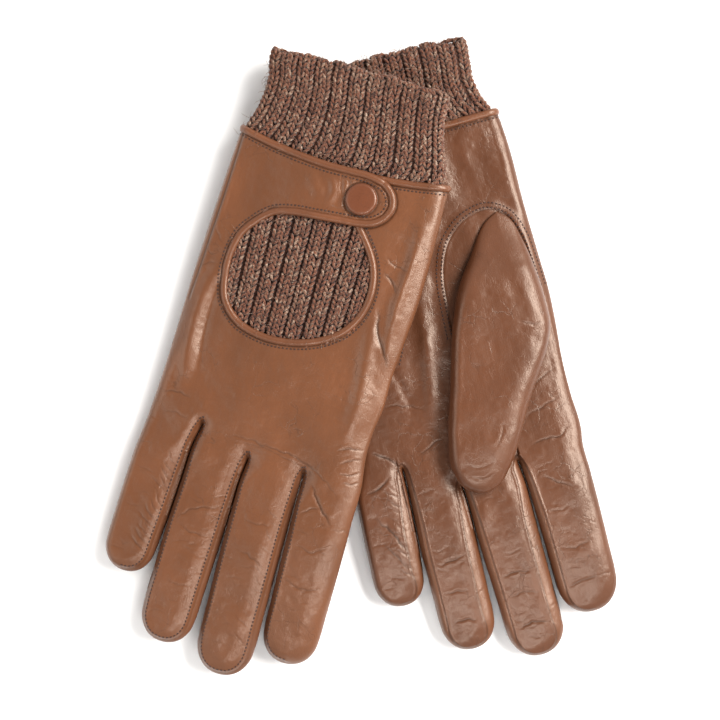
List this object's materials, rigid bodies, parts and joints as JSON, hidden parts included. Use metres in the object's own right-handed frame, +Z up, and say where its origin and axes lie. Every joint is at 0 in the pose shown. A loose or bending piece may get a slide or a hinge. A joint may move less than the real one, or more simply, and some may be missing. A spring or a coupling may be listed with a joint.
{
  "type": "leather driving gloves",
  "caption": "Pair of lined leather driving gloves with rib-knit cuffs, a back window and a snap strap, laid one over the other.",
  "frame": {"origin": "centre of the pair's footprint on the surface it lies on", "axes": "+Z up, +Y towards the wrists, +X to the right when seen from above with the wrists away"},
  "size_m": [0.2054, 0.2532, 0.0279],
  "materials": {
    "leather": "smooth drum-dyed hairsheep, satin, brown",
    "binding_leather": "smooth brown leather, folded edge strip",
    "cap_leather": "brown leather over a metal cap, satin",
    "knit_liner": "marled brown and taupe wool knit",
    "rib_knit": "marled brown and taupe wool, ribbed two by two",
    "snap_metal": "antique brass, satin"
  },
  "bodies": {
    "left_hand": {"left_back_leather": "leather", "left_palm_leather": "leather", "left_fourchettes": "leather", "left_knit_lining": "knit_liner", "left_knit_cuff": "rib_knit", "left_edge_binding": "binding_leather", "left_snap_stud": "snap_metal", "left_snap_post": "snap_metal"},
    "right_hand": {"right_back_leather": "leather", "right_palm_leather": "leather", "right_fourchettes": "leather", "right_knit_lining": "knit_liner", "right_knit_cuff": "rib_knit", "right_edge_binding": "binding_leather", "right_snap_stud": "snap_metal", "right_snap_post": "snap_metal"},
    "left_pinky": {"left_pinky_leather": "leather", "left_pinky_fourchettes": "leather", "left_pinky_lining": "knit_liner"},
    "left_ring": {"left_ring_leather": "leather", "left_ring_fourchettes": "leather", "left_ring_lining": "knit_liner"},
    "left_middle": {"left_middle_leather": "leather", "left_middle_fourchettes": "leather", "left_middle_lining": "knit_liner"},
    "left_index": {"left_index_leather": "leather", "left_index_fourchettes": "leather", "left_index_lining": "knit_liner"},
    "left_thumb": {"left_thumb_leather": "leather", "left_thumb_lining": "knit_liner"},
    "left_strap": {"left_strap": "leather", "left_strap_binding": "binding_leather", "left_snap_cap": "cap_leather", "left_snap_socket": "snap_metal"},
    "right_pinky": {"right_pinky_leather": "leather", "right_pinky_fourchettes": "leather", "right_pinky_lining": "knit_liner"},
    "right_ring": {"right_ring_leather": "leather", "right_ring_fourchettes": "leather", "right_ring_lining": "knit_liner"},
    "right_middle": {"right_middle_leather": "leather", "right_middle_fourchettes": "leather", "right_middle_lining": "knit_liner"},
    "right_index": {"right_index_leather": "leather", "right_index_fourchettes": "leather", "right_index_lining": "knit_liner"},
    "right_thumb": {"right_thumb_leather": "leather", "right_thumb_lining": "knit_liner"},
    "right_strap": {"right_strap": "leather", "right_strap_binding": "binding_leather", "right_snap_cap": "cap_leather", "right_snap_socket": "snap_metal"}
  },
  "joints": [
    {"name": "right_glove_lift", "type": "slide", "parent": "left_hand", "child": "right_hand", "axis": [0, 0, 1], "range_m": [0, 0.06]},
    {"name": "left_pinky_bend", "type": "hinge", "parent": "left_hand", "child": "left_pinky", "pos_m": [0.01175, -0.06595, 0.00613], "axis": [-0.9825, -0.184, -0.0309], "range_deg": [0, 75]},
    {"name": "left_ring_bend", "type": "hinge", "parent": "left_hand", "child": "left_ring", "pos_m": [0.03473, -0.06944, 0.00686], "axis": [-0.9707, -0.2385, -0.0305], "range_deg": [0, 75]},
    {"name": "left_middle_bend", "type": "hinge", "parent": "left_hand", "child": "left_middle", "pos_m": [0.05867, -0.06692, 0.00761], "axis": [-0.9588, -0.2823, -0.0301], "range_deg": [0, 75]},
    {"name": "left_index_bend", "type": "hinge", "parent": "left_hand", "child": "left_index", "pos_m": [0.08256, -0.05776, 0.00836], "axis": [-0.9663, -0.2554, -0.0304], "range_deg": [0, 75]},
    {"name": "left_thumb_swing", "type": "hinge", "parent": "left_hand", "child": "left_thumb", "pos_m": [0.05514, 0.03541, 0.01545], "axis": [-0.0314, 0, 0.9995], "range_deg": [0, 35]},
    {"name": "left_strap_fold", "type": "hinge", "parent": "left_hand", "child": "left_strap", "pos_m": [0.00332, 0.07245, 0.00047], "axis": [-0.2469, 0.969, -0.0078], "range_deg": [0, 150]},
    {"name": "right_pinky_bend", "type": "hinge", "parent": "right_hand", "child": "right_pinky", "pos_m": [-0.0846, -0.05241, 0.00604], "axis": [0.9332, -0.3338, 0.1328], "range_deg": [0, 75]},
    {"name": "right_ring_bend", "type": "hinge", "parent": "right_hand", "child": "right_ring", "pos_m": [-0.06608, -0.06712, 0.00867], "axis": [0.9432, -0.304, 0.1342], "range_deg": [0, 75]},
    {"name": "right_middle_bend", "type": "hinge", "parent": "right_hand", "child": "right_middle", "pos_m": [-0.04312, -0.07533, 0.01194], "axis": [0.9549, -0.2639, 0.1359], "range_deg": [0, 75]},
    {"name": "right_index_bend", "type": "hinge", "parent": "right_hand", "child": "right_index", "pos_m": [-0.0197, -0.08213, 0.01527], "axis": [0.9558, -0.2605, 0.136], "range_deg": [0, 75]},
    {"name": "right_thumb_swing", "type": "hinge", "parent": "right_hand", "child": "right_thumb", "pos_m": [0.00256, 0.01215, 0.01273], "axis": [-0.1409, 0, 0.99], "range_deg": [0, 18]},
    {"name": "right_strap_fold", "type": "hinge", "parent": "right_hand", "child": "right_strap", "pos_m": [-0.02402, 0.07104, 0.02052], "axis": [-0.2928, -0.9553, -0.0417], "range_deg": [0, 150]}
  ]
}
